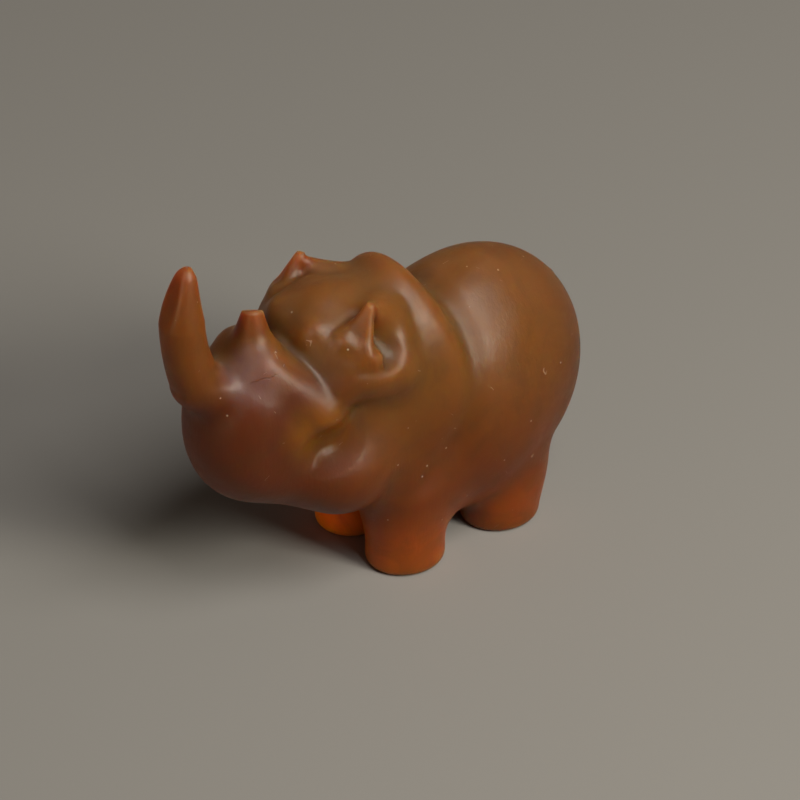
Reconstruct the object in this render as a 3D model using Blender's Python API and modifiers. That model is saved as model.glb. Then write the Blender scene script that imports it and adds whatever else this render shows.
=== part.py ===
"""A small rhinoceros carved from one piece of carnelian, standing on four short legs.

The figurine is one solid. It faces -Y, its left side is +X and its soles rest on Z = 0. Round
masses block it out, a voxel remesh fuses them into one skin, and the skin then settles onto the
carved form, in which the same masses are blended, scooped and chipped.
"""
import bmesh
import bpy
import numpy as np
from mathutils import Vector

# Driving dimension in metres, from the front of the front horn to the rump.
FIGURE_LENGTH = 0.048

# The carving keeps its proportions: one share is a hundredth of the figure's length. X is measured
# from the mid-plane, Y back from the middle of the front feet and Z up from the soles.
SHARE = FIGURE_LENGTH / 100

# The skin is remeshed more finely at each stage of the carving, in shares, and then simplified.
# At each stage it settles onto the form in a few short steps along the form's slope.
VOXELS = (1.6, 1.3, 1.0, 0.8, 0.65)
SETTLE_STEPS = 6
LONGEST_STEP = 0.5
SLOPE_REACH = 0.05
GENTLEST_SLOPE = 0.5
TRIANGLES = 9000

# Carnelian with a satin finish.
CARNELIAN = (0.36, 0.10, 0.03, 1.0)
CARNELIAN_ROUGHNESS = 0.4

# Ellipsoid masses: centre and radii in shares. One whose centre is off the mid-plane is a pair.
MASSES = {
    "barrel": ((2.5, 18.5, 29.8), (17.5, 22.6, 26.4)),
    "back": ((0.0, 21.6, 31.6), (18.4, 26.4, 27.4)),
    "thigh": ((7.4, 25.8, 14.0), (8.0, 9.6, 13.0)),
    "shoulder": ((7.2, 1.2, 19.0), (9.2, 10.4, 12.6)),
    "throat": ((0.0, 1.0, 38.0), (16.0, 15.5, 20.0)),
    "skull": ((0.0, -13.0, 47.0), (13.5, 14.0, 19.0)),
    "temple": ((8.5, -11.0, 54.5), (9.2, 8.8, 9.2)),
    "cheek": ((6.5, -15.5, 29.8), (11.0, 11.5, 11.0)),
    "jaw": ((3.0, -25.0, 34.0), (10.0, 11.0, 10.5)),
    "face": ((4.0, -24.5, 43.0), (10.2, 9.5, 9.5)),
    "nose": ((2.0, -32.0, 49.0), (9.5, 9.0, 9.0)),
    "muzzle": ((0.0, -35.0, 42.0), (11.6, 10.0, 15.0)),
}

# Scoops taken out of the masses, in the same way.
SCOOPS = {
    "ear bowl": ((19.0, -11.0, 65.0), (10.0, 10.0, 10.4)),
    "ear hollow": ((16.2, -9.5, 57.6), (3.6, 3.6, 3.2)),
    "eye socket": ((17.6, -24.2, 39.6), (5.4, 5.4, 4.4)),
}

# Tapered bars: both ends, then the radius at each end. Those off the mid-plane are pairs.
BARS = {
    "brow": ((4.8, -30.9, 56.8), (10.6, -22.6, 47.4), 4.0, 4.6),
    "front rim": ((5.0, -19.5, 60.0), (12.2, -17.0, 51.8), 3.0, 3.0),
    "lower rim": ((12.2, -17.0, 51.8), (13.4, -6.5, 50.5), 3.0, 3.2),
    "ear": ((12.0, -15.2, 58.8), (11.3, -10.6, 66.8), 3.8, 0.7),
    "ear root": ((11.0, -10.4, 65.5), (7.5, -6.0, 59.5), 0.8, 5.0),
    "ear lobe": ((10.9, -16.6, 60.0), (14.7, -12.7, 56.8), 1.3, 1.8),
    "rear horn": ((0.0, -31.0, 54.0), (0.0, -30.5, 69.0), 6.2, 1.5),
    "tail": ((0.0, 42.6, 46.0), (0.0, 46.9, 33.0), 1.4, 1.1),
}

# Fillets where a form meets the ones before it, and how far the edge of each cut is eased, in shares.
FILLETS = {
    "barrel": 1.0,
    "front face": 4.5,
    "collar": 6.0,
    "cheek": 6.0,
    "jaw": 5.0,
    "muzzle": 6.0,
    "nose": 5.0,
    "face": 4.0,
    "temple": 3.0,
    "eye socket": 4.0,
    "brow": 3.2,
    "rim corner": 2.0,
    "rim": 3.2,
    "neck": 8.0,
    "ear bowl": 3.0,
    "ear face": 1.0,
    "ear root": 1.5,
    "ear": 2.0,
    "ear hollow": 1.5,
    "ear lobe": 2.4,
    "trunk": 4.5,
    "swell": 5.0,
    "shoulder": 6.0,
    "thigh": 2.0,
    "horn facet": 0.4,
    "horn tip": 2.0,
    "chip": 0.3,
    "front horn": 5.0,
    "rear horn": 3.5,
    "tail": 1.0,
}

# Each ear is a leaf with a flat outer face: the way it faces, and how far out along that way it is.
EAR_FACE = (0.540, -0.691, 0.480)
EAR_FACE_REACH = 46.6

# The collar of flesh round the neck is a disc that bows back at the sides and leans forward below.
COLLAR_HEIGHT = 42.0
COLLAR_RADII = (17.0, 8.5, 24.0)
COLLAR_SETBACK = 1.5
COLLAR_BOW = 4.5
COLLAR_LEAN = 0.025

# The front of the trunk, where the collar's groove lies, curves forward below this height, and at
# the soles it would be this far forward.
FRONT_FACE = 11.5
FRONT_LEAN_HEIGHT = 52.0
FRONT_LEAN = 27.0

# Legs: round posts with a softened sole edge, a little narrower across than fore and aft.
LEG_SPREAD = 8.4
FRONT_LEG = 0.0
HIND_LEG = 24.3
LEG_TOP = 18.5
LEG_RADIUS = 8.3
LEG_NARROWING = 0.92
SOLE_EDGE = 1.4
SOLE_FLATNESS = 0.04

# Front horn: its centre line stands ahead of the muzzle and curves back from one height on, by so
# much at the base. Its girth shrinks above its waist and flares below it, by so much at the base.
# Above the waist its front is cut to a flat facet that leans back by so much for its height.
HORN_BASE = 56.5
HORN_TIP = 83.4
HORN_POINT = 84.4
HORN_OVERHANG = 2.0
HORN_BEND_HEIGHT = 72.0
HORN_BEND = 3.2
HORN_WAIST_HEIGHT = 71.5
HORN_GIRTH = 4.4
HORN_FLARE = 1.0
HORN_FACET_LEAN = 0.38

# Old damage: the rear horn is broken off at a height, and the break rises by so much across and
# back. The front horn has a chip behind its tip.
REAR_HORN_BREAK = 67.4
REAR_HORN_SLANT = (0.45, -0.35)
CHIP = ((0.6, -41.9, 78.6), (1.0, -43.2, 84.0), 1.3, 1.6)


def ellipsoid(p, centre, radii):
    """Distance to an ellipsoid, near enough for blending."""
    q = p - np.array(centre)
    r = np.array(radii)
    near = np.linalg.norm(q / r, axis=1)
    far = np.linalg.norm(q / (r * r), axis=1)
    return near * (near - 1.0) / np.maximum(far, 1e-6)


def bar(p, start, end, r_start, r_end):
    """Distance to a round bar that tapers from one end to the other."""
    a = np.array(start)
    along = np.array(end) - a
    t = np.clip((p - a) @ along / (along @ along), 0.0, 1.0)
    return np.linalg.norm(p - a - t[:, None] * along, axis=1) - (r_start + (r_end - r_start) * t)


def join(a, b, soft):
    """Union of two forms with a fillet about as wide as soft."""
    overlap = np.maximum(soft - np.abs(a - b), 0.0) / soft
    return np.minimum(a, b) - overlap * overlap * soft / 4


def cut(a, b, soft):
    """The form a with b taken out of it and the edge eased."""
    return -join(-a, b, soft)


def mass(p, name):
    """Distance to one of the masses."""
    return ellipsoid(p, *MASSES[name])


def scoop(p, name):
    """Distance to one of the scoops."""
    return ellipsoid(p, *SCOOPS[name])


def trunk(p):
    """The barrel of the body and the rump behind it, flattened in front for the collar's groove."""
    body = join(mass(p, "back"), mass(p, "barrel"), FILLETS["barrel"])
    lean = FRONT_LEAN * np.maximum(1.0 - p[:, 2] / FRONT_LEAN_HEIGHT, 0.0) ** 2
    ahead = p[:, 1] - (FRONT_FACE - lean)
    return cut(body, ahead, FILLETS["front face"])


def neck(p):
    """The throat and the fold of flesh that stands round it like a collar."""
    bow = COLLAR_SETBACK + COLLAR_BOW * (p[:, 0] / COLLAR_RADII[0]) ** 2
    bow = bow - COLLAR_LEAN * np.maximum(COLLAR_HEIGHT - p[:, 2], 0.0) ** 2
    straight = np.column_stack((p[:, 0], p[:, 1] - bow, p[:, 2]))
    collar = ellipsoid(straight, (0.0, 0.0, COLLAR_HEIGHT), COLLAR_RADII)
    return join(mass(p, "throat"), collar, FILLETS["collar"])


def head(p):
    """Skull, cheeks, jaw and muzzle, with the ridges of the brow."""
    d = mass(p, "skull")
    for name in ("cheek", "jaw", "muzzle", "nose", "face", "temple"):
        d = join(d, mass(p, name), FILLETS[name])
    d = join(d, bar(p, *BARS["brow"]), FILLETS["brow"])
    rim = join(bar(p, *BARS["front rim"]), bar(p, *BARS["lower rim"]), FILLETS["rim corner"])
    d = join(d, rim, FILLETS["rim"])
    return cut(d, scoop(p, "eye socket"), FILLETS["eye socket"])


def ears(p, d):
    """Each ear stands in a bowl scooped into the side of the crown."""
    d = cut(d, scoop(p, "ear bowl"), FILLETS["ear bowl"])
    leaf = cut(bar(p, *BARS["ear"]), EAR_FACE_REACH - p @ np.array(EAR_FACE), FILLETS["ear face"])
    ear = join(leaf, bar(p, *BARS["ear root"]), FILLETS["ear root"])
    d = join(d, ear, FILLETS["ear"])
    d = cut(d, scoop(p, "ear hollow"), FILLETS["ear hollow"])
    return join(d, bar(p, *BARS["ear lobe"]), FILLETS["ear lobe"])


def leg(p, setback, swell):
    """A post under the swelling of shoulder or thigh."""
    across = (p[:, 0] - LEG_SPREAD) / LEG_NARROWING
    side = np.hypot(across, p[:, 1] - setback) - LEG_RADIUS + SOLE_EDGE
    ends = np.maximum(SOLE_EDGE - p[:, 2], p[:, 2] - LEG_TOP)
    outside = np.hypot(np.maximum(side, 0.0), np.maximum(ends, 0.0))
    post = outside + np.minimum(np.maximum(side, ends), 0.0) - SOLE_EDGE
    return join(post, mass(p, swell), FILLETS["swell"])


def horn_line(z):
    """Where the front horn's centre line is at a height, and how thick the horn is there."""
    muzzle_place, muzzle_radii = MASSES["muzzle"]
    front = muzzle_place[1] - muzzle_radii[1] - HORN_OVERHANG
    bend = HORN_BEND * ((z - HORN_BEND_HEIGHT) / (HORN_BEND_HEIGHT - HORN_BASE)) ** 2
    taper = np.sqrt(np.clip((HORN_POINT - z) / (HORN_POINT - HORN_WAIST_HEIGHT), 0.0, 1.0))
    flare = HORN_FLARE * (np.maximum(HORN_WAIST_HEIGHT - z, 0.0) / (HORN_WAIST_HEIGHT - HORN_BASE)) ** 2
    return front + bend, HORN_GIRTH * taper + flare


def front_horn(p):
    """A tapering horn swept up and a little back, worn blunt at the tip and chipped behind it."""
    z = np.clip(p[:, 2], HORN_BASE, HORN_TIP)
    middle, girth = horn_line(z)
    off_line = np.column_stack((p[:, 0], p[:, 1] - middle, p[:, 2] - z))
    horn = np.linalg.norm(off_line, axis=1) - girth
    waist_middle, waist_girth = horn_line(np.array([HORN_WAIST_HEIGHT]))
    facet = waist_middle - waist_girth + HORN_FACET_LEAN * (p[:, 2] - HORN_WAIST_HEIGHT)
    horn = cut(horn, (p[:, 1] - facet) / np.hypot(1.0, HORN_FACET_LEAN), FILLETS["horn facet"])
    horn = cut(horn, HORN_TIP - p[:, 2], FILLETS["horn tip"])
    return cut(horn, bar(p, *CHIP), FILLETS["chip"])


def rear_horn(p):
    """A short cone broken off on a slant."""
    place = np.array(BARS["rear horn"][1])
    level = REAR_HORN_BREAK + (p - place)[:, :2] @ np.array(REAR_HORN_SLANT)
    return np.maximum(bar(p, *BARS["rear horn"]), p[:, 2] - level)


def figure(points):
    """Height above the carved surface, in shares, at points given in shares."""
    p = np.column_stack((np.abs(points[:, 0]), points[:, 1], points[:, 2]))
    d = ears(p, join(head(p), neck(p), FILLETS["neck"]))
    d = join(d, trunk(p), FILLETS["trunk"])
    d = join(d, leg(p, FRONT_LEG, "shoulder"), FILLETS["shoulder"])
    d = join(d, leg(p, HIND_LEG, "thigh"), FILLETS["thigh"])
    d = join(d, front_horn(points), FILLETS["front horn"])
    d = join(d, rear_horn(points), FILLETS["rear horn"])
    d = join(d, bar(p, *BARS["tail"]), FILLETS["tail"])
    return np.maximum(d, -points[:, 2])


def slope_of(points):
    """How fast the form rises along each axis."""
    columns = []
    for axis in np.eye(3) * SLOPE_REACH:
        columns.append((figure(points + axis) - figure(points - axis)) / (2 * SLOPE_REACH))
    return np.column_stack(columns)


def settle(mesh):
    """Move every vertex up or down the slope until it lies on the carved surface."""
    flat = np.empty(len(mesh.vertices) * 3)
    mesh.vertices.foreach_get("co", flat)
    points = flat.reshape(-1, 3) / SHARE
    for _ in range(SETTLE_STEPS):
        slope = slope_of(points)
        steepness = np.maximum((slope ** 2).sum(axis=1), GENTLEST_SLOPE ** 2)
        step = slope * (figure(points) / steepness)[:, None]
        length = np.maximum(np.linalg.norm(step, axis=1, keepdims=True), 1e-9)
        points = points - step * np.minimum(1.0, LONGEST_STEP / length)
    mesh.vertices.foreach_set("co", (points * SHARE).ravel())
    mesh.update()


def add_modifier(item, kind, **settings):
    """Add a modifier and set its values."""
    modifier = item.modifiers.new(kind.title(), kind)
    for name, value in settings.items():
        setattr(modifier, name, value)
    return modifier


def apply_modifiers(item):
    """Give an object the mesh that its modifiers make."""
    bpy.context.view_layer.update()
    depsgraph = bpy.context.evaluated_depsgraph_get()
    mesh = bpy.data.meshes.new_from_object(item.evaluated_get(depsgraph))
    item.modifiers.clear()
    item.data = mesh


def clear_scene():
    for item in list(bpy.data.objects):
        bpy.data.objects.remove(item, do_unlink=True)


def new_collection(name):
    collection = bpy.data.collections.new(name)
    bpy.context.scene.collection.children.link(collection)
    return collection


def take_new_object(collection, name):
    """Move the object that an operator has just added into a collection."""
    item = bpy.context.active_object
    for old in list(item.users_collection):
        old.objects.unlink(item)
    collection.objects.link(item)
    item.name = name
    return item


def sides_of(centre):
    """Left and right for a shape off the mid-plane, one side for a shape on it."""
    return (1, -1) if centre[0] > 0 else (1,)


def add_cone(collection, name, side, start, end, radii):
    """Add a tapering primitive between two points given in shares."""
    low = Vector((side * start[0], start[1], start[2])) * SHARE
    high = Vector((side * end[0], end[1], end[2])) * SHARE
    turn = (high - low).to_track_quat("Z", "Y").to_euler()
    bpy.ops.mesh.primitive_cone_add(vertices=24, radius1=radii[0] * SHARE, radius2=radii[1] * SHARE,
                                    depth=(high - low).length, location=(low + high) / 2, rotation=turn)
    return take_new_object(collection, name)


def block_out(collection):
    """Put a primitive for each mass, bar, leg and horn in its place."""
    pieces = []
    for name, (centre, radii) in MASSES.items():
        for side in sides_of(centre):
            place = (side * centre[0] * SHARE, centre[1] * SHARE, centre[2] * SHARE)
            bpy.ops.mesh.primitive_uv_sphere_add(segments=32, ring_count=16, radius=SHARE, location=place,
                                                 scale=radii)
            pieces.append(take_new_object(collection, name))
    collar_place = (0.0, COLLAR_SETBACK * SHARE, COLLAR_HEIGHT * SHARE)
    bpy.ops.mesh.primitive_uv_sphere_add(segments=32, ring_count=16, radius=SHARE, location=collar_place,
                                         scale=COLLAR_RADII)
    pieces.append(take_new_object(collection, "collar"))
    for side in (1, -1):
        for setback in (FRONT_LEG, HIND_LEG):
            place = (side * LEG_SPREAD * SHARE, setback * SHARE, LEG_TOP / 2 * SHARE)
            bpy.ops.mesh.primitive_cylinder_add(vertices=32, radius=LEG_RADIUS * LEG_NARROWING * SHARE,
                                                depth=LEG_TOP * SHARE, location=place)
            pieces.append(take_new_object(collection, "leg"))
    for name, (start, end, r_start, r_end) in BARS.items():
        for side in sides_of(start):
            pieces.append(add_cone(collection, name, side, start, end, (r_start, r_end)))
    heights = (HORN_BASE, HORN_BEND_HEIGHT, HORN_TIP)
    for low, high in zip(heights, heights[1:]):
        (low_y, low_girth), (high_y, high_girth) = horn_line(low), horn_line(high)
        pieces.append(add_cone(collection, "front horn", 1, (0.0, low_y, low), (0.0, high_y, high),
                               (low_girth, high_girth)))
    for item in pieces:
        item.hide_render = True
        item.display_type = "WIRE"
    return pieces


def fuse(pieces, name, collection):
    """One mesh object holding every piece of the block-out, still as separate shells."""
    bpy.context.view_layer.update()
    shells = bmesh.new()
    for item in pieces:
        shell = item.data.copy()
        shell.transform(item.matrix_world)
        shells.from_mesh(shell)
        bpy.data.meshes.remove(shell)
    mesh = bpy.data.meshes.new(name)
    shells.to_mesh(mesh)
    shells.free()
    fused = bpy.data.objects.new(name, mesh)
    collection.objects.link(fused)
    return fused


def carnelian():
    """Dark orange-brown stone with a satin skin that lets some light in."""
    material = bpy.data.materials.new("carnelian")
    material.use_nodes = True
    shader = material.node_tree.nodes["Principled BSDF"]
    shader.inputs["Base Color"].default_value = CARNELIAN
    shader.inputs["Roughness"].default_value = CARNELIAN_ROUGHNESS
    shader.inputs["Metallic"].default_value = 0.0
    material.diffuse_color = CARNELIAN
    return material


def turn_edges(mesh):
    """Turn edges so that neighbouring triangles lie as flat to each other as they can."""
    skin = bmesh.new()
    skin.from_mesh(mesh)
    bmesh.ops.beautify_fill(skin, faces=skin.faces, edges=skin.edges, method="ANGLE")
    skin.to_mesh(mesh)
    skin.free()


def stand_on_origin(mesh):
    """Shift the mesh so that the middle of its underside is the origin, and level the soles."""
    flat = np.empty(len(mesh.vertices) * 3)
    mesh.vertices.foreach_get("co", flat)
    points = flat.reshape(-1, 3)
    low, high = points.min(axis=0), points.max(axis=0)
    points -= ((low[0] + high[0]) / 2, (low[1] + high[1]) / 2, low[2])
    points[points[:, 2] < SOLE_FLATNESS * SHARE, 2] = 0.0
    mesh.vertices.foreach_set("co", points.ravel())
    mesh.update()


def build():
    clear_scene()
    pieces = block_out(new_collection("block-out"))
    figurine = fuse(pieces, "rhinoceros", new_collection("rhinoceros figurine"))
    for voxel in VOXELS:
        add_modifier(figurine, "REMESH", mode="VOXEL", voxel_size=voxel * SHARE)
        apply_modifiers(figurine)
        settle(figurine.data)
    faces = sum(len(face.vertices) - 2 for face in figurine.data.polygons)
    add_modifier(figurine, "DECIMATE", ratio=TRIANGLES / faces)
    apply_modifiers(figurine)
    turn_edges(figurine.data)
    stand_on_origin(figurine.data)
    figurine.data.shade_smooth()
    figurine.data.materials.append(carnelian())


build()
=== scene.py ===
"""Looks of the rhinoceros figurine: carnelian that lets light in, with a satin, slightly dusty skin.

The skin of the CAD solid is remeshed finely and settled onto the carved form. It is the form that
the solid follows too, so the finer skin only shows its edges, chips and creases more crisply. Forms
are in shares: one share is a hundredth of the figurine's length.
"""

import bpy
import numpy as np
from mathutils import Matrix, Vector


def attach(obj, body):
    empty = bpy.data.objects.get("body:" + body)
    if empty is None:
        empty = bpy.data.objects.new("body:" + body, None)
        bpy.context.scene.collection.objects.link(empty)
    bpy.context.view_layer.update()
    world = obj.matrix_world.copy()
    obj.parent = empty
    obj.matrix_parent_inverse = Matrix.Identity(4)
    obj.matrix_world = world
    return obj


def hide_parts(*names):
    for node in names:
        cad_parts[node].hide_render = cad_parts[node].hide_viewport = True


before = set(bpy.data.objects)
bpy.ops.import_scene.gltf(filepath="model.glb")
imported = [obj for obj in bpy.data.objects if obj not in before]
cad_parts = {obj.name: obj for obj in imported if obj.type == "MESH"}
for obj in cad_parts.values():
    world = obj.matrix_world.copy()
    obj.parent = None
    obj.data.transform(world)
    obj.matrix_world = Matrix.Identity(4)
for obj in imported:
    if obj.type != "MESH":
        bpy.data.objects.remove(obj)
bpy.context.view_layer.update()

# Driving dimensions in metres.
FIGURE_LENGTH = 0.048
SHARE = FIGURE_LENGTH / 100
FRONT_FEET_SETBACK = 1.58 * SHARE

# The skin is remeshed this finely, in shares, and settles onto the form in a few short steps.
VOXEL = 0.52
SETTLE_STEPS = 5
LONGEST_STEP = 0.3
SLOPE_REACH = 0.05
GENTLEST_SLOPE = 0.5

# How far from a point its bend is measured, and how deep the stone is sounded, in shares.
BEND_REACH = 0.8
DEEPEST = 24

# Ellipsoid masses: centre and radii in shares. One whose centre is off the mid-plane is a pair.
MASSES = {
    "barrel": ((2.5, 18.5, 29.8), (17.5, 22.6, 26.4)),
    "back": ((0.0, 21.6, 31.6), (18.4, 26.4, 27.4)),
    "thigh": ((7.4, 25.8, 14.0), (8.0, 9.6, 13.0)),
    "shoulder": ((7.2, 1.2, 19.0), (9.2, 10.4, 12.6)),
    "throat": ((0.0, 1.0, 38.0), (16.0, 15.5, 20.0)),
    "skull": ((0.0, -13.0, 47.0), (13.5, 14.0, 19.0)),
    "temple": ((8.5, -11.0, 54.5), (9.2, 8.8, 9.2)),
    "cheek": ((6.5, -15.5, 29.8), (11.0, 11.5, 11.0)),
    "jaw": ((3.0, -25.0, 34.0), (10.0, 11.0, 10.5)),
    "face": ((4.0, -24.5, 43.0), (10.2, 9.5, 9.5)),
    "nose": ((2.0, -32.0, 49.0), (9.5, 9.0, 9.0)),
    "muzzle": ((0.0, -35.0, 42.0), (11.6, 10.0, 15.0)),
}

# Scoops taken out of the masses, in the same way.
SCOOPS = {
    "ear bowl": ((19.0, -11.0, 65.0), (10.0, 10.0, 10.4)),
    "ear hollow": ((16.2, -9.5, 57.6), (3.6, 3.6, 3.2)),
    "eye socket": ((17.6, -24.2, 39.6), (5.4, 5.4, 4.4)),
}

# Tapered bars: both ends, then the radius at each end. Those off the mid-plane are pairs.
BARS = {
    "brow": ((4.8, -30.9, 56.8), (10.6, -22.6, 47.4), 4.0, 4.6),
    "front rim": ((5.0, -19.5, 60.0), (12.2, -17.0, 51.8), 3.0, 3.0),
    "lower rim": ((12.2, -17.0, 51.8), (13.4, -6.5, 50.5), 3.0, 3.2),
    "ear": ((12.0, -15.2, 58.8), (11.3, -10.6, 66.8), 3.8, 0.7),
    "ear root": ((11.0, -10.4, 65.5), (7.5, -6.0, 59.5), 0.8, 5.0),
    "ear lobe": ((10.9, -16.6, 60.0), (14.7, -12.7, 56.8), 1.3, 1.8),
    "rear horn": ((0.0, -31.0, 54.0), (0.0, -30.5, 69.0), 6.2, 1.5),
    "tail": ((0.0, 42.6, 46.0), (0.0, 46.9, 33.0), 1.4, 1.1),
}

# Fillets where a form meets the ones before it, and how far the edge of each cut is eased, in
# shares.
FILLETS = {
    "barrel": 1.0,
    "front face": 4.5,
    "collar": 6.0,
    "cheek": 6.0,
    "jaw": 5.0,
    "muzzle": 6.0,
    "nose": 5.0,
    "face": 4.0,
    "temple": 3.0,
    "eye socket": 4.0,
    "brow": 3.2,
    "rim corner": 2.0,
    "rim": 3.2,
    "neck": 8.0,
    "ear bowl": 3.0,
    "ear face": 1.0,
    "ear root": 1.5,
    "ear": 2.0,
    "ear hollow": 1.5,
    "ear lobe": 2.4,
    "trunk": 4.5,
    "swell": 5.0,
    "shoulder": 6.0,
    "thigh": 2.0,
    "horn facet": 0.4,
    "horn tip": 2.0,
    "chip": 0.3,
    "front horn": 5.0,
    "rear horn": 3.5,
    "tail": 1.0,
}

# Each ear is a leaf with a flat outer face: the way it faces, and how far out along that way it is.
EAR_FACE = (0.540, -0.691, 0.480)
EAR_FACE_REACH = 46.6

# The collar of flesh round the neck is a disc that bows back at the sides and leans forward below.
COLLAR_HEIGHT = 42.0
COLLAR_RADII = (17.0, 8.5, 24.0)
COLLAR_SETBACK = 1.5
COLLAR_BOW = 4.5
COLLAR_LEAN = 0.025

# The front of the trunk, where the collar's groove lies, curves forward below this height, and at
# the soles it would be this far forward.
FRONT_FACE = 11.5
FRONT_LEAN_HEIGHT = 52.0
FRONT_LEAN = 27.0

# Legs: round posts with a softened sole edge, a little narrower across than fore and aft.
LEG_SPREAD = 8.4
FRONT_LEG = 0.0
HIND_LEG = 24.3
LEG_TOP = 18.5
LEG_RADIUS = 8.3
LEG_NARROWING = 0.92
SOLE_EDGE = 1.4

# Front horn: its centre line stands ahead of the muzzle and curves back from one height on, by so
# much at the base. Its girth shrinks above its waist and flares below it, by so much at the base.
# Above the waist its front is cut to a flat facet that leans back by so much for its height.
HORN_BASE = 56.5
HORN_TIP = 83.4
HORN_POINT = 84.4
HORN_OVERHANG = 2.0
HORN_BEND_HEIGHT = 72.0
HORN_BEND = 3.2
HORN_WAIST_HEIGHT = 71.5
HORN_GIRTH = 4.4
HORN_FLARE = 1.0
HORN_FACET_LEAN = 0.38

# Old damage: the rear horn is broken off at a height, and the break rises by so much across and
# back. The front horn has a chip behind its tip.
REAR_HORN_BREAK = 67.4
REAR_HORN_SLANT = (0.45, -0.35)
CHIP = ((0.6, -41.9, 78.6), (1.0, -43.2, 84.0), 1.3, 1.6)

# The stone's colours, and those of what lies in it and on it, with painted light among them: lit and
# shaded tones, glows, shade in hollows, highlights on ridges and a sheen with the dust.
# Painted light from above: the upper tone is lighter and more golden, the lower darker and redder.
PAINTED_LIT_UPPER_STONE = (0.128, 0.046, 0.0030, 1.0)
PAINTED_SHADED_LOWER_STONE = (0.105, 0.019, 0.0003, 1.0)
# Painted shade on the face in front, below the horns: darker red brown.
PAINTED_SHADE_FACE_STONE = (0.078, 0.0125, 0.0003, 1.0)
# Painted shade on the rump: darker red.
PAINTED_SHADE_RUMP_STONE = (0.070, 0.018, 0.0005, 1.0)
# Painted light through thin parts: redder where the stone is thin.
PAINTED_LIGHT_THROUGH_THIN_STONE = (0.080, 0.014, 0.0002, 1.0)
# Painted glow of light through the feet, brightest on the far side.
PAINTED_FOOT_GLOW = (0.250, 0.048, 0.0003, 1.0)
PAINTED_FAR_FOOT_GLOW = (0.800, 0.115, 0.0003, 1.0)
# Painted golden glow round the eye.
PAINTED_EYE_GLOW_STONE = (0.165, 0.056, 0.0008, 1.0)
# Painted shade in hollows.
PAINTED_HOLLOW_SHADE = (0.075, 0.028, 0.0010, 1.0)
# Painted highlight on ridges, pinkish.
PAINTED_RIDGE_HIGHLIGHT = (0.260, 0.130, 0.0500, 1.0)
DARK_STONE = (0.060, 0.018, 0.002, 1.0)
BRUISED_STONE = (0.120, 0.055, 0.050, 1.0)
DUST = (0.50, 0.42, 0.34, 1.0)
# A pale film on what faces up: dust, and a painted sheen.
DUST_AND_SHEEN = (0.50, 0.42, 0.40, 1.0)

# Noise textures: how many features lie in a metre, then detail, roughness and distortion.
CLOUDS = (90.0, 3.0, 0.5, 0.4)
VEINS = (220.0, 4.0, 0.6, 1.2)
DUST_AND_SHEEN_PATCHES = (130.0, 3.0, 0.55, 0.0)
SMEARS = (260.0, 4.0, 0.6, 0.0)
TOOL_MARKS = (150.0, 2.0, 0.5, 0.0)
STREAKS = (2600.0, 2.0, 0.6, 0.0)
GRAIN = (1300.0, 3.0, 0.6, 0.0)
LINT_LINES = (330.0, 0.0, 0.55, 0.0)
LINT_PIECES = (760.0, 1.0, 0.55, 0.0)

# Ramps: the values at which each begins and ends, then the amounts that it gives there. These run
# over shares: up from the soles, back from the front feet, out to the right, through the stone.
# Painted light from above: over this height the tone goes from the lower colour to the upper one.
PAINTED_LIGHT_FROM_ABOVE = (24.0, 64.0, 0.0, 1.0)
# Where the painted shade on the face lies: ahead of the front feet and below the horns.
AHEAD = (-8.0, -28.0, 0.0, 1.0)
BELOW_HORNS = (52.0, 62.0, 1.0, 0.0)
# Where the painted shade on the rump lies.
REARWARD = (26.0, 46.0, 0.0, 0.6)
THIN = (4.0, 20.0, 0.5, 0.0)
# Where the painted glow in the feet lies: near the soles, more in the front feet, brighter on the far
# side.
NEAR_SOLES = (3.0, 20.0, 1.0, 0.0)
FORWARD_FEET = (8.0, 20.0, 1.0, 0.55)
RIGHT_SIDE = (0.0, 6.0, 0.0, 1.0)

# These run over how sharply the skin bends, how far it faces up, and the noises.
# Painted shade in hollows, by how the skin bends.
SHADED_HOLLOWS = (-0.05, -0.45, 0.0, 0.3)
# Painted highlight on ridges, by how the skin bends.
HIGHLIGHTED_RIDGES = (0.25, 0.9, 0.0, 0.10)
FACING_UP = (0.1, 0.95, 0.0, 1.0)
DUST_AND_SHEEN_PATCHY = (0.3, 0.7, 0.5, 1.0)
VEINED = (0.40, 0.68, 0.0, 0.35)
SATIN_ROUGHNESS = (0.3, 0.7, 0.37, 0.49)

# How far the clouds shift the height at which the tones change, in shares, and how much of the pale film
# there is, dust with a painted sheen.
CLOUD_RISE = 14.0
DUST_AND_SHEEN_AMOUNT = 0.035

# Places of marks, directions and reaches, in shares as in the masses. A spot is even up to a share of
# its reach.
SPOT_CORE = 0.35
# A painted golden glow round the eye.
EYE_GLOW = (14.3, -25.0, 44.5)
EYE_GLOW_REACH = 10.0
EYE_GLOW_AMOUNT = 0.7
EYE = (12.7, -22.6, 42.6)
EYELID_WAY = (0.0, 0.72, -0.69)
EYELID_REACH = 4.6
EYELID_HALF_RISE = 1.0
EYELID_FALL = 5.0
EYELID_BELOW = (1.6, 4.0, 0.0, 1.0)
BRUISE = (5.5, -35.5, 57.8)
BRUISE_REACH = 8.0
BRUISE_AMOUNT = 0.6
CRACK = (8.0, -34.0, 57.3)
CRACK_FACE = (0.62, -0.094, -0.779)
CRACK_REACH = -36.7
CRACK_HALF_LENGTH = 3.8
CRACK_EDGE = (0.05, 0.22, 1.0, 0.0)
CRACK_WANDER = (0.45, 1.6)
CRACK_AMOUNT = 0.6

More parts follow.
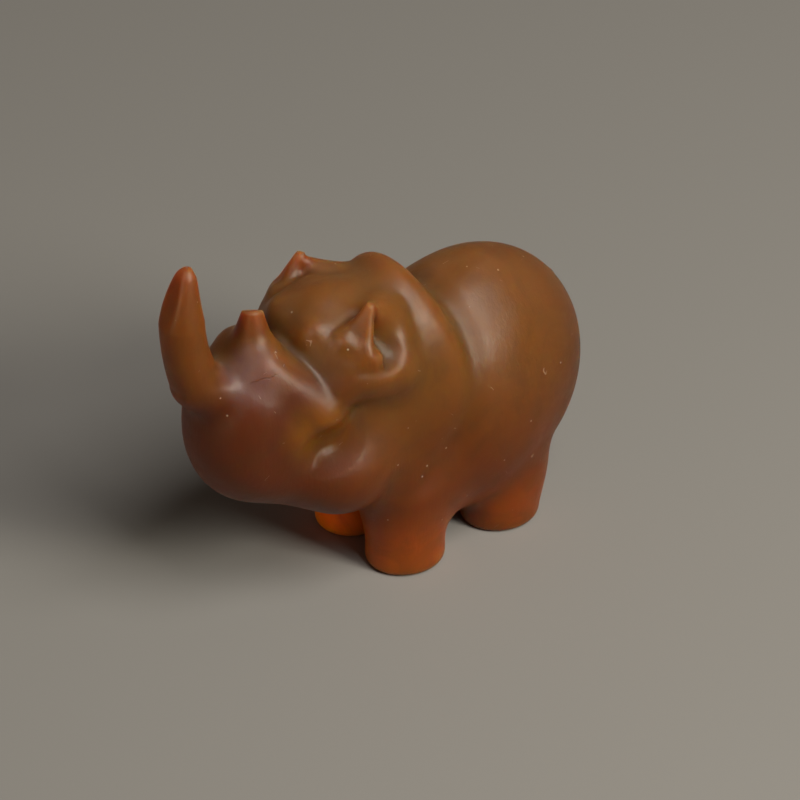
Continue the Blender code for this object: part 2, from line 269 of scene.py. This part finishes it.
# Dust: specks in a few cells of a Voronoi texture with so many cells in a metre, and lint where a
# noise crosses its middle in a few small places.
SPECK_CELLS = 620.0
SPECK_CHOICE = (0.70, 0.72, 0.0, 1.0)
SPECK_EDGE = (0.03, 0.085, 1.0, 0.0)
LINT_MIDDLE = 0.5
LINT_EDGE = (0.001, 0.005, 0.6, 0.0)
LINT_CHOICE = (0.68, 0.71, 0.0, 1.0)
DUST_AMOUNT = 0.55
DUST_ROUGHNESS = 0.9

# Fine relief: the strength and the height in metres of each layer. Streaks are drawn out upward.
TOOL_MARK_RELIEF = (0.35, 0.0004)
EYELID_RELIEF = (1.0, 0.00045)
GRAIN_RELIEF = (0.5, 0.00004)
DUST_RELIEF = (0.5, 0.00005)
STREAK_SQUEEZE = (1.0, 1.0, 0.12)

# What is the same all over the stone: light goes in deep, red the furthest, and the skin is satin.
STONE_SHADER = {
    "Subsurface Weight": 1.0,
    "Subsurface Radius": (1.0, 0.36, 0.10),
    "Subsurface Scale": 0.010,
    "IOR": 1.54,
    "Specular IOR Level": 0.28,
    "Specular Tint": (1.0, 0.95, 0.88, 1.0),
}

# The floor, and the dim surround.
FLOOR_SIZE = 3.0
FLOOR_SHADER = {"Base Color": (0.34, 0.325, 0.30, 1.0), "Roughness": 0.8}
SURROUND = {"Color": (1.0, 0.86, 0.72, 1.0), "Strength": 0.05}

# Soft boxes: azimuth, elevation, distance and width in metres, watts and colour. Azimuth is 0 ahead
# of the nose and turns to the figurine's left. Some light the figurine alone, and one gives it no
# highlight.
LIGHTS = {
    "key": (108.0, 28.0, 0.50, 0.14, 1.6, (1.0, 0.95, 0.84)),
    "top": (98.0, 57.0, 0.60, 0.30, 1.8, (1.0, 0.97, 0.93)),
    "sheen": (14.0, 42.0, 0.50, 0.16, 0.38, (0.97, 0.94, 0.92)),
    "low fill": (12.0, 10.0, 0.50, 0.20, 0.42, (1.0, 0.76, 0.50)),
    "back": (238.0, 34.0, 0.50, 0.20, 0.85, (1.0, 0.93, 0.84)),
}
FIGURINE_ONLY = ("sheen", "low fill", "back")
NO_HIGHLIGHT = ("back",)

# The photograph's camera: where it looks, in shares from between the front feet, from which side,
# how high, how far off in metres, and its lens and its sensor in millimetres.
AIM = (-1.2, 6.2, 30.1)
AZIMUTH = 52.0
ELEVATION = 35.0
CAMERA_DISTANCE = 0.4295
LENS = 201.3
SENSOR = 36.0


def ellipsoid(p, centre, radii):
    """Distance to an ellipsoid, near enough for blending."""
    q = p - np.array(centre)
    r = np.array(radii)
    near = np.linalg.norm(q / r, axis=1)
    far = np.linalg.norm(q / (r * r), axis=1)
    return near * (near - 1.0) / np.maximum(far, 1e-6)


def bar(p, start, end, r_start, r_end):
    """Distance to a round bar that tapers from one end to the other."""
    a = np.array(start)
    along = np.array(end) - a
    t = np.clip((p - a) @ along / (along @ along), 0.0, 1.0)
    return np.linalg.norm(p - a - t[:, None] * along, axis=1) - (r_start + (r_end - r_start) * t)


def join(a, b, soft):
    """Union of two forms with a fillet about as wide as soft."""
    overlap = np.maximum(soft - np.abs(a - b), 0.0) / soft
    return np.minimum(a, b) - overlap * overlap * soft / 4


def cut(a, b, soft):
    """The form a with b taken out of it and the edge eased."""
    return -join(-a, b, soft)


def mass(p, name):
    """Distance to one of the masses."""
    return ellipsoid(p, *MASSES[name])


def scoop(p, name):
    """Distance to one of the scoops."""
    return ellipsoid(p, *SCOOPS[name])


def trunk(p):
    """The barrel of the body and the rump behind it, flattened in front for the collar's groove."""
    body = join(mass(p, "back"), mass(p, "barrel"), FILLETS["barrel"])
    lean = FRONT_LEAN * np.maximum(1.0 - p[:, 2] / FRONT_LEAN_HEIGHT, 0.0) ** 2
    ahead = p[:, 1] - (FRONT_FACE - lean)
    return cut(body, ahead, FILLETS["front face"])


def neck(p):
    """The throat and the fold of flesh that stands round it like a collar."""
    bow = COLLAR_SETBACK + COLLAR_BOW * (p[:, 0] / COLLAR_RADII[0]) ** 2
    bow = bow - COLLAR_LEAN * np.maximum(COLLAR_HEIGHT - p[:, 2], 0.0) ** 2
    straight = np.column_stack((p[:, 0], p[:, 1] - bow, p[:, 2]))
    collar = ellipsoid(straight, (0.0, 0.0, COLLAR_HEIGHT), COLLAR_RADII)
    return join(mass(p, "throat"), collar, FILLETS["collar"])


def head(p):
    """Skull, cheeks, jaw and muzzle, with the ridges of the brow."""
    d = mass(p, "skull")
    for name in ("cheek", "jaw", "muzzle", "nose", "face", "temple"):
        d = join(d, mass(p, name), FILLETS[name])
    d = join(d, bar(p, *BARS["brow"]), FILLETS["brow"])
    rim = join(bar(p, *BARS["front rim"]), bar(p, *BARS["lower rim"]), FILLETS["rim corner"])
    d = join(d, rim, FILLETS["rim"])
    return cut(d, scoop(p, "eye socket"), FILLETS["eye socket"])


def ears(p, d):
    """Each ear stands in a bowl scooped into the side of the crown."""
    d = cut(d, scoop(p, "ear bowl"), FILLETS["ear bowl"])
    leaf = cut(bar(p, *BARS["ear"]), EAR_FACE_REACH - p @ np.array(EAR_FACE), FILLETS["ear face"])
    ear = join(leaf, bar(p, *BARS["ear root"]), FILLETS["ear root"])
    d = join(d, ear, FILLETS["ear"])
    d = cut(d, scoop(p, "ear hollow"), FILLETS["ear hollow"])
    return join(d, bar(p, *BARS["ear lobe"]), FILLETS["ear lobe"])


def leg(p, setback, swell):
    """A post under the swelling of shoulder or thigh."""
    across = (p[:, 0] - LEG_SPREAD) / LEG_NARROWING
    side = np.hypot(across, p[:, 1] - setback) - LEG_RADIUS + SOLE_EDGE
    ends = np.maximum(SOLE_EDGE - p[:, 2], p[:, 2] - LEG_TOP)
    outside = np.hypot(np.maximum(side, 0.0), np.maximum(ends, 0.0))
    post = outside + np.minimum(np.maximum(side, ends), 0.0) - SOLE_EDGE
    return join(post, mass(p, swell), FILLETS["swell"])


def horn_line(z):
    """Where the front horn's centre line is at a height, and how thick the horn is there."""
    muzzle_place, muzzle_radii = MASSES["muzzle"]
    front = muzzle_place[1] - muzzle_radii[1] - HORN_OVERHANG
    bend = HORN_BEND * ((z - HORN_BEND_HEIGHT) / (HORN_BEND_HEIGHT - HORN_BASE)) ** 2
    taper = np.sqrt(np.clip((HORN_POINT - z) / (HORN_POINT - HORN_WAIST_HEIGHT), 0.0, 1.0))
    flare = HORN_FLARE * (np.maximum(HORN_WAIST_HEIGHT - z, 0.0) / (HORN_WAIST_HEIGHT - HORN_BASE)) ** 2
    return front + bend, HORN_GIRTH * taper + flare


def front_horn(p):
    """A tapering horn swept up and a little back, worn blunt at the tip and chipped behind it."""
    z = np.clip(p[:, 2], HORN_BASE, HORN_TIP)
    middle, girth = horn_line(z)
    off_line = np.column_stack((p[:, 0], p[:, 1] - middle, p[:, 2] - z))
    horn = np.linalg.norm(off_line, axis=1) - girth
    waist_middle, waist_girth = horn_line(np.array([HORN_WAIST_HEIGHT]))
    facet = waist_middle - waist_girth + HORN_FACET_LEAN * (p[:, 2] - HORN_WAIST_HEIGHT)
    horn = cut(horn, (p[:, 1] - facet) / np.hypot(1.0, HORN_FACET_LEAN), FILLETS["horn facet"])
    horn = cut(horn, HORN_TIP - p[:, 2], FILLETS["horn tip"])
    return cut(horn, bar(p, *CHIP), FILLETS["chip"])


def rear_horn(p):
    """A short cone broken off on a slant."""
    place = np.array(BARS["rear horn"][1])
    level = REAR_HORN_BREAK + (p - place)[:, :2] @ np.array(REAR_HORN_SLANT)
    return np.maximum(bar(p, *BARS["rear horn"]), p[:, 2] - level)


def figure(points):
    """Height above the carved surface, in shares, at points given in shares."""
    p = np.column_stack((np.abs(points[:, 0]), points[:, 1], points[:, 2]))
    d = ears(p, join(head(p), neck(p), FILLETS["neck"]))
    d = join(d, trunk(p), FILLETS["trunk"])
    d = join(d, leg(p, FRONT_LEG, "shoulder"), FILLETS["shoulder"])
    d = join(d, leg(p, HIND_LEG, "thigh"), FILLETS["thigh"])
    d = join(d, front_horn(points), FILLETS["front horn"])
    d = join(d, rear_horn(points), FILLETS["rear horn"])
    d = join(d, bar(p, *BARS["tail"]), FILLETS["tail"])
    return np.maximum(d, -points[:, 2])


def slope_of(points):
    """How fast the form rises along each axis."""
    columns = []
    for axis in np.eye(3) * SLOPE_REACH:
        columns.append((figure(points + axis) - figure(points - axis)) / (2 * SLOPE_REACH))
    return np.column_stack(columns)


def read_points(mesh):
    """The mesh's vertices in shares, from the middle of the front feet."""
    flat = np.empty(len(mesh.vertices) * 3)
    mesh.vertices.foreach_get("co", flat)
    return (flat.reshape(-1, 3) - (0.0, FRONT_FEET_SETBACK, 0.0)) / SHARE


def write_points(mesh, points):
    """Put the vertices at these points."""
    mesh.vertices.foreach_set("co", (points * SHARE + (0.0, FRONT_FEET_SETBACK, 0.0)).ravel())
    mesh.update()


def settle(mesh):
    """Move every vertex up or down the slope until it lies on the carved surface."""
    points = read_points(mesh)
    for _ in range(SETTLE_STEPS):
        slope = slope_of(points)
        steepness = np.maximum((slope ** 2).sum(axis=1), GENTLEST_SLOPE ** 2)
        step = slope * (figure(points) / steepness)[:, None]
        length = np.maximum(np.linalg.norm(step, axis=1, keepdims=True), 1e-9)
        points = points - step * np.minimum(1.0, LONGEST_STEP / length)
    write_points(mesh, points)


def thickness_of(points):
    """How much stone lies behind the skin, in whole shares."""
    slope = slope_of(points)
    inward = -slope / np.maximum(np.linalg.norm(slope, axis=1, keepdims=True), 1e-6)
    through = np.zeros(len(points))
    for depth in range(1, DEEPEST + 1):
        inside = figure(points + inward * depth) < 0.0
        still_in = through >= depth - 1
        through[inside & still_in] = depth
    return through


def roundness_of(points):
    """How sharply the skin bends: above zero on ridges, below zero in hollows."""
    around = -6.0 * figure(points)
    for axis in np.eye(3) * BEND_REACH:
        around += figure(points + axis) + figure(points - axis)
    return around / BEND_REACH ** 2


def carve(node):
    """A fine skin over the CAD node, settled onto the carved form."""
    skin = bpy.data.objects.new("rhinoceros_skin", node.data.copy())
    bpy.context.scene.collection.objects.link(skin)
    skin.data.materials.clear()
    remesh = skin.modifiers.new("even skin", "REMESH")
    remesh.mode = "VOXEL"
    remesh.voxel_size = VOXEL * SHARE
    bpy.context.view_layer.update()
    depsgraph = bpy.context.evaluated_depsgraph_get()
    mesh = bpy.data.meshes.new_from_object(skin.evaluated_get(depsgraph))
    skin.modifiers.clear()
    skin.data = mesh
    settle(mesh)
    points = read_points(mesh)
    for name, values in (("thickness", thickness_of(points)), ("roundness", roundness_of(points))):
        mesh.attributes.new(name, "FLOAT", "POINT").data.foreach_set("value", values)
    mesh.shade_smooth()
    return skin


class Nodes:
    """A short way to write a node tree."""

    def __init__(self, tree):
        self.tree = tree

    def add(self, kind, inputs=None, **settings):
        """A new node. Its inputs go by name or by number."""
        node = self.tree.nodes.new(kind)
        for name, value in settings.items():
            setattr(node, name, value)
        for name, value in (inputs or {}).items():
            self.feed(node.inputs[name], value)
        return node

    def feed(self, socket, value):
        """Link an output to a socket, or set the socket's own value."""
        if isinstance(value, bpy.types.NodeSocket):
            self.tree.links.new(value, socket)
        else:
            socket.default_value = value

    def attribute(self, name):
        return self.add("ShaderNodeAttribute", attribute_name=name).outputs["Fac"]

    def noise(self, vector, scale, detail, roughness, distortion):
        inputs = {"Vector": vector, "Scale": scale, "Detail": detail, "Roughness": roughness,
                  "Distortion": distortion}
        return self.add("ShaderNodeTexNoise", inputs).outputs["Fac"]

    def between(self, value, low, high, out_low=0.0, out_high=1.0):
        """A smooth ramp from one amount to another, while the value goes from low to high."""
        inputs = {"Value": value, "From Min": low, "From Max": high, "To Min": out_low, "To Max": out_high}
        return self.add("ShaderNodeMapRange", inputs, interpolation_type="SMOOTHSTEP").outputs["Result"]

    def mix(self, factor, a, b):
        node = self.add("ShaderNodeMix", data_type="RGBA")
        self.feed(node.inputs[0], factor)
        self.feed(node.inputs[6], a)
        self.feed(node.inputs[7], b)
        return node.outputs[2]

    def math(self, operation, a, b=0.0):
        return self.add("ShaderNodeMath", {0: a, 1: b}, operation=operation).outputs[0]

    def vector(self, operation, *values):
        """An operation on vectors that gives a vector."""
        node = self.add("ShaderNodeVectorMath", dict(enumerate(values)), operation=operation)
        return node.outputs["Vector"]

    def measure(self, operation, *values):
        """An operation on vectors that gives a number."""
        node = self.add("ShaderNodeVectorMath", dict(enumerate(values)), operation=operation)
        return node.outputs["Value"]

    def parts(self, vector):
        node = self.add("ShaderNodeSeparateXYZ", {"Vector": vector})
        return node.outputs["X"], node.outputs["Y"], node.outputs["Z"]

    def warped(self, vector, scale, amount):
        """The place shifted about by a noise, to make straight lines wander."""
        noise = self.add("ShaderNodeTexNoise", {"Vector": vector, "Scale": scale}).outputs["Color"]
        return self.vector("MULTIPLY_ADD", noise, (amount,) * 3, vector)

    def bump(self, height, strength, distance, normal=None):
        """A layer of relief on top of the one whose normal is given."""
        inputs = {"Height": height, "Strength": strength, "Distance": distance}
        if normal is not None:
            inputs["Normal"] = normal
        return self.add("ShaderNodeBump", inputs).outputs["Normal"]


def spot(nodes, point, centre, reach):
    """One at a place, falling to nothing at a reach from it, in shares."""
    away = nodes.measure("DISTANCE", point, centre)
    return nodes.between(away, reach * SPOT_CORE, reach, 1.0, 0.0)


def stone_colour(nodes, place, point, mirrored):
    """Painted light on the stone: lighter olive brown above and darker red brown below as if lit from
    above, painted shade in front and on the rump, redder painted light through thin parts, a painted
    orange glow in the feet and a golden one round the eye, and veins.
    """
    _, back, height = nodes.parts(mirrored)
    clouds = nodes.math("MULTIPLY", nodes.noise(place, *CLOUDS), CLOUD_RISE)
    # Painted light from above, the height shifted by clouds.
    raised = nodes.between(nodes.math("ADD", height, clouds), *PAINTED_LIGHT_FROM_ABOVE)
    colour = nodes.mix(raised, PAINTED_SHADED_LOWER_STONE, PAINTED_LIT_UPPER_STONE)
    # Painted shade on the face in front, below the horns.
    front = nodes.math("MULTIPLY", nodes.between(back, *AHEAD), nodes.between(height, *BELOW_HORNS))
    colour = nodes.mix(front, colour, PAINTED_SHADE_FACE_STONE)
    # Painted shade on the rump.
    colour = nodes.mix(nodes.between(back, *REARWARD), colour, PAINTED_SHADE_RUMP_STONE)
    # Painted light through thin parts: redder where the stone is thin.
    colour = nodes.mix(nodes.between(nodes.attribute("thickness"), *THIN), colour, PAINTED_LIGHT_THROUGH_THIN_STONE)
    # Painted glow in the feet, brighter on the far side.
    foot = nodes.math("MULTIPLY", nodes.between(height, *NEAR_SOLES), nodes.between(back, *FORWARD_FEET))
    right = nodes.math("SUBTRACT", 0.0, nodes.parts(point)[0])
    colour = nodes.mix(foot, colour, nodes.mix(nodes.between(right, *RIGHT_SIDE), PAINTED_FOOT_GLOW, PAINTED_FAR_FOOT_GLOW))
    # Painted golden glow round the eye.
    glow = nodes.math("MULTIPLY", spot(nodes, mirrored, EYE_GLOW, EYE_GLOW_REACH), EYE_GLOW_AMOUNT)
    colour = nodes.mix(glow, colour, PAINTED_EYE_GLOW_STONE)
    veins = nodes.between(nodes.noise(place, *VEINS), *VEINED)
    return nodes.mix(veins, colour, DARK_STONE)


def hairline_crack(nodes, point):
    """One hairline crack in the stone left of the rear horn."""
    across = nodes.measure("DOT_PRODUCT", nodes.warped(point, *CRACK_WANDER), CRACK_FACE)
    off_crack = nodes.math("ABSOLUTE", nodes.math("SUBTRACT", across, CRACK_REACH))
    span = spot(nodes, point, CRACK, CRACK_HALF_LENGTH)
    return nodes.math("MULTIPLY", nodes.between(off_crack, *CRACK_EDGE), span)


def dust(nodes, place):
    """Specks and short lint fibres caught on the skin."""
    cells = nodes.add("ShaderNodeTexVoronoi", {"Vector": place, "Scale": SPECK_CELLS})
    chosen = nodes.between(nodes.parts(cells.outputs["Color"])[0], *SPECK_CHOICE)
    specks = nodes.math("MULTIPLY", nodes.between(cells.outputs["Distance"], *SPECK_EDGE), chosen)
    off_line = nodes.math("SUBTRACT", nodes.noise(place, *LINT_LINES), LINT_MIDDLE)
    line = nodes.between(nodes.math("ABSOLUTE", off_line), *LINT_EDGE)
    lint = nodes.math("MULTIPLY", line, nodes.between(nodes.noise(place, *LINT_PIECES), *LINT_CHOICE))
    return nodes.math("MAXIMUM", specks, lint)


def dust_and_sheen(nodes, place, normal):
    """A pale film, in patches, on what faces up: dust, and a painted sheen."""
    patches = nodes.between(nodes.noise(place, *DUST_AND_SHEEN_PATCHES), *DUST_AND_SHEEN_PATCHY)
    return nodes.math("MULTIPLY", nodes.between(nodes.parts(normal)[2], *FACING_UP), patches)


def eyelid(nodes, mirrored):
    """A crescent below the eye, steep towards the eye and gentle away from it."""
    from_eye = nodes.vector("SUBTRACT", mirrored, EYE)
    away = nodes.measure("LENGTH", from_eye)
    foot, crest = EYELID_REACH - EYELID_HALF_RISE, EYELID_REACH + EYELID_HALF_RISE
    fall = nodes.between(away, crest, EYELID_REACH + EYELID_FALL, 1.0, 0.0)
    ring = nodes.math("MULTIPLY", nodes.between(away, foot, crest), fall)
    below = nodes.measure("DOT_PRODUCT", from_eye, EYELID_WAY)
    return nodes.math("MULTIPLY", ring, nodes.between(below, *EYELID_BELOW))


def relief(nodes, place, mirrored, raised):
    """Shallow tool marks, the eyelid, the polish's fine grain, and whatever is raised a little."""
    streaks = nodes.noise(nodes.vector("MULTIPLY", place, STREAK_SQUEEZE), *STREAKS)
    fine = nodes.math("ADD", streaks, nodes.noise(place, *GRAIN))
    normal = nodes.bump(nodes.noise(place, *TOOL_MARKS), *TOOL_MARK_RELIEF)
    normal = nodes.bump(eyelid(nodes, mirrored), *EYELID_RELIEF, normal)
    normal = nodes.bump(fine, *GRAIN_RELIEF, normal)
    return nodes.bump(raised, *DUST_RELIEF, normal)


def carnelian():
    """Carnelian that lets light in, with a satin skin."""
    material = bpy.data.materials.new("carnelian")
    material.use_nodes = True
    shader = material.node_tree.nodes["Principled BSDF"]
    nodes = Nodes(material.node_tree)
    coordinates = nodes.add("ShaderNodeTexCoord").outputs
    place = coordinates["Object"]
    setback = (0.0, -FRONT_FEET_SETBACK / SHARE, 0.0)
    point = nodes.vector("MULTIPLY_ADD", place, (1 / SHARE,) * 3, setback)
    x, y, z = nodes.parts(point)
    x = nodes.math("ABSOLUTE", x)
    mirrored = nodes.add("ShaderNodeCombineXYZ", {"X": x, "Y": y, "Z": z}).outputs["Vector"]

    crack = hairline_crack(nodes, point)
    specks = dust(nodes, place)
    bend = nodes.attribute("roundness")
    tints = (
        (nodes.math("MULTIPLY", spot(nodes, point, BRUISE, BRUISE_REACH), BRUISE_AMOUNT), BRUISED_STONE),
        (nodes.math("MULTIPLY", crack, CRACK_AMOUNT), DARK_STONE),
        # Painted shade in hollows.
        (nodes.between(bend, *SHADED_HOLLOWS), PAINTED_HOLLOW_SHADE),
        # Painted highlight on ridges.
        (nodes.between(bend, *HIGHLIGHTED_RIDGES), PAINTED_RIDGE_HIGHLIGHT),
        # Dust with a painted sheen on what faces up.
        (nodes.math("MULTIPLY", dust_and_sheen(nodes, place, coordinates["Normal"]), DUST_AND_SHEEN_AMOUNT), DUST_AND_SHEEN),
        (nodes.math("MULTIPLY", specks, DUST_AMOUNT), DUST),
    )
    colour = stone_colour(nodes, place, point, mirrored)
    for amount, tint in tints:
        colour = nodes.mix(amount, colour, tint)
    nodes.feed(shader.inputs["Base Color"], colour)

    satin = nodes.between(nodes.noise(place, *SMEARS), *SATIN_ROUGHNESS)
    dusty = nodes.math("MULTIPLY", specks, DUST_ROUGHNESS)
    nodes.feed(shader.inputs["Roughness"], nodes.math("MAXIMUM", satin, dusty))
    raised = nodes.math("SUBTRACT", specks, crack)
    nodes.feed(shader.inputs["Normal"], relief(nodes, place, mirrored, raised))
    for name, value in STONE_SHADER.items():
        shader.inputs[name].default_value = value
    return material


def add_floor():
    """A plain pale floor."""
    material = bpy.data.materials.new("plain floor")
    material.use_nodes = True
    for name, value in FLOOR_SHADER.items():
        material.node_tree.nodes["Principled BSDF"].inputs[name].default_value = value
    bpy.ops.mesh.primitive_plane_add(size=FLOOR_SIZE)
    floor = bpy.context.active_object
    floor.name = "floor"
    floor.data.materials.append(material)


def toward(azimuth, elevation):
    """The direction of something seen at these angles."""
    a, e = np.radians(azimuth), np.radians(elevation)
    return Vector((np.sin(a) * np.cos(e), -np.cos(a) * np.cos(e), np.sin(e)))


def look_from(thing, azimuth, elevation, distance):
    """Put a light or a camera at a distance from the point of aim, and turn it towards that point."""
    way = toward(azimuth, elevation)
    thing.location = Vector(AIM) * SHARE + Vector((0.0, FRONT_FEET_SETBACK, 0.0)) + way * distance
    thing.rotation_euler = way.to_track_quat("Z", "Y").to_euler()
    bpy.context.scene.collection.objects.link(thing)


def add_light(name, figurine):
    """A square soft box turned towards the figurine."""
    azimuth, elevation, distance, size, watts, colour = LIGHTS[name]
    data = bpy.data.lights.new(name, "AREA")
    data.size = size
    data.energy = watts
    data.color = colour
    light = bpy.data.objects.new(name, data)
    look_from(light, azimuth, elevation, distance)
    light.visible_glossy = name not in NO_HIGHLIGHT
    if name in FIGURINE_ONLY:
        receivers = bpy.data.collections.new(name + " lights only this")
        receivers.objects.link(figurine)
        light.light_linking.receiver_collection = receivers


def light_studio(figurine):
    """The soft boxes and a dim surround, shown without a film curve."""
    for name in LIGHTS:
        add_light(name, figurine)
    world = bpy.data.worlds.new("surround")
    world.use_nodes = True
    for name, value in SURROUND.items():
        world.node_tree.nodes["Background"].inputs[name].default_value = value
    bpy.context.scene.world = world
    bpy.context.scene.view_settings.view_transform = "Standard"


def add_camera():
    """The photograph's viewing angle."""
    data = bpy.data.cameras.new("camera")
    data.lens = LENS
    data.sensor_width = SENSOR
    camera = bpy.data.objects.new("camera", data)
    look_from(camera, AZIMUTH, ELEVATION, CAMERA_DISTANCE)
    bpy.context.scene.camera = camera


skin = carve(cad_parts["rhinoceros"])
skin.data.materials.append(carnelian())
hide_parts("rhinoceros")
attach(skin, "root")
add_floor()
add_camera()
light_studio(skin)

bpy.context.view_layer.update()
